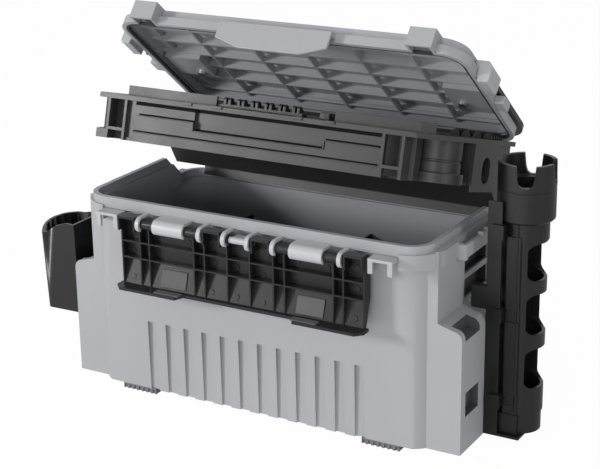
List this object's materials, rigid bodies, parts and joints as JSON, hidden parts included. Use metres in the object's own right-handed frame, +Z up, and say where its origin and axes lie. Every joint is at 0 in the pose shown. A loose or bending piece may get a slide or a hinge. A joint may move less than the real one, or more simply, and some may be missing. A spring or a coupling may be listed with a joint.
{
  "type": "fishing seat box",
  "caption": "Moulded fishing seat box with a hinged organiser tray, a hinged seat lid with carrying handle, a fold-over front latch, a rod stand and a hook-on side pocket.",
  "frame": {"origin": "centre of the tub's flat underside, midway between the front and the back of its lip; the rubber feet reach below it", "axes": "+X to the right as seen from the front, +Y from the latch towards the tray hinge, +Z up"},
  "size_m": [0.546, 0.2561, 0.3919],
  "materials": {
    "shell": "fine grained moulded plastic, mid grey",
    "tray": "fine grained moulded plastic, black",
    "black": "satin black plastic",
    "grey": "satin grey plastic",
    "rubber": "matt black rubber",
    "metal": "plain steel"
  },
  "bodies": {
    "box": {"tub": "shell", "rubber_feet": "rubber", "front_belt_loops": "grey", "left_side_rail": "grey", "right_side_rail": "grey", "latch_pin": "metal", "tray_hinge_pin": "metal", "stand_bracket": "black"},
    "tray": {"tray_case": "tray", "tray_deck": "tray", "tray_end_plate": "tray", "cup_holder": "tray", "hook_comb": "black", "rig_rolls": "black", "deck_clip": "black", "lid_hinge_pin": "metal"},
    "lid": {"lid_shell": "shell", "lid_seal": "rubber", "lid_catch_tab": "shell", "lid_screws": "metal", "handle_hubs": "grey", "handle_pins": "metal", "lid_side_clips": "grey"},
    "handle": {"handle_frame": "black", "handle_grip": "black"},
    "latch": {"latch_plate": "black", "latch_pads": "black", "catch_pads": "black"},
    "rod_stand": {"rod_tube": "black", "rod_crown": "black", "tube_snaps": "black"},
    "side_pocket": {"pocket_cup": "black", "pocket_hook": "black"},
    "divider_left": {"left_divider": "black"},
    "divider_right": {"right_divider": "black"}
  },
  "joints": [
    {"name": "tray_hinge", "type": "hinge", "parent": "box", "child": "tray", "pos_m": [0, 0.1109, 0.1878], "axis": [-1, 0, 0], "range_deg": [-15.8, 44]},
    {"name": "lid_hinge", "type": "hinge", "parent": "tray", "child": "lid", "pos_m": [0, 0.10165, 0.23739], "axis": [-1, 0, 0], "range_deg": [-23.2, 75]},
    {"name": "handle_pivot", "type": "hinge", "parent": "lid", "child": "handle", "pos_m": [0, 0.03236, 0.32105], "axis": [1, 0, 0], "range_deg": [0, 95]},
    {"name": "latch_pivot", "type": "hinge", "parent": "box", "child": "latch", "pos_m": [0, -0.1115, 0.1856], "axis": [-1, 0, 0], "range_deg": [0, 180]},
    {"name": "rod_stand_lift", "type": "slide", "parent": "box", "child": "rod_stand", "axis": [0, 0, 1], "range_m": [0, 0.07]},
    {"name": "side_pocket_lift", "type": "slide", "parent": "box", "child": "side_pocket", "axis": [0, 0, 1], "range_m": [0, 0.03]},
    {"name": "left_divider_lift", "type": "slide", "parent": "box", "child": "divider_left", "axis": [0, 0, 1], "range_m": [0, 0.03]},
    {"name": "right_divider_lift", "type": "slide", "parent": "box", "child": "divider_right", "axis": [0, 0, 1], "range_m": [0, 0.03]}
  ]
}
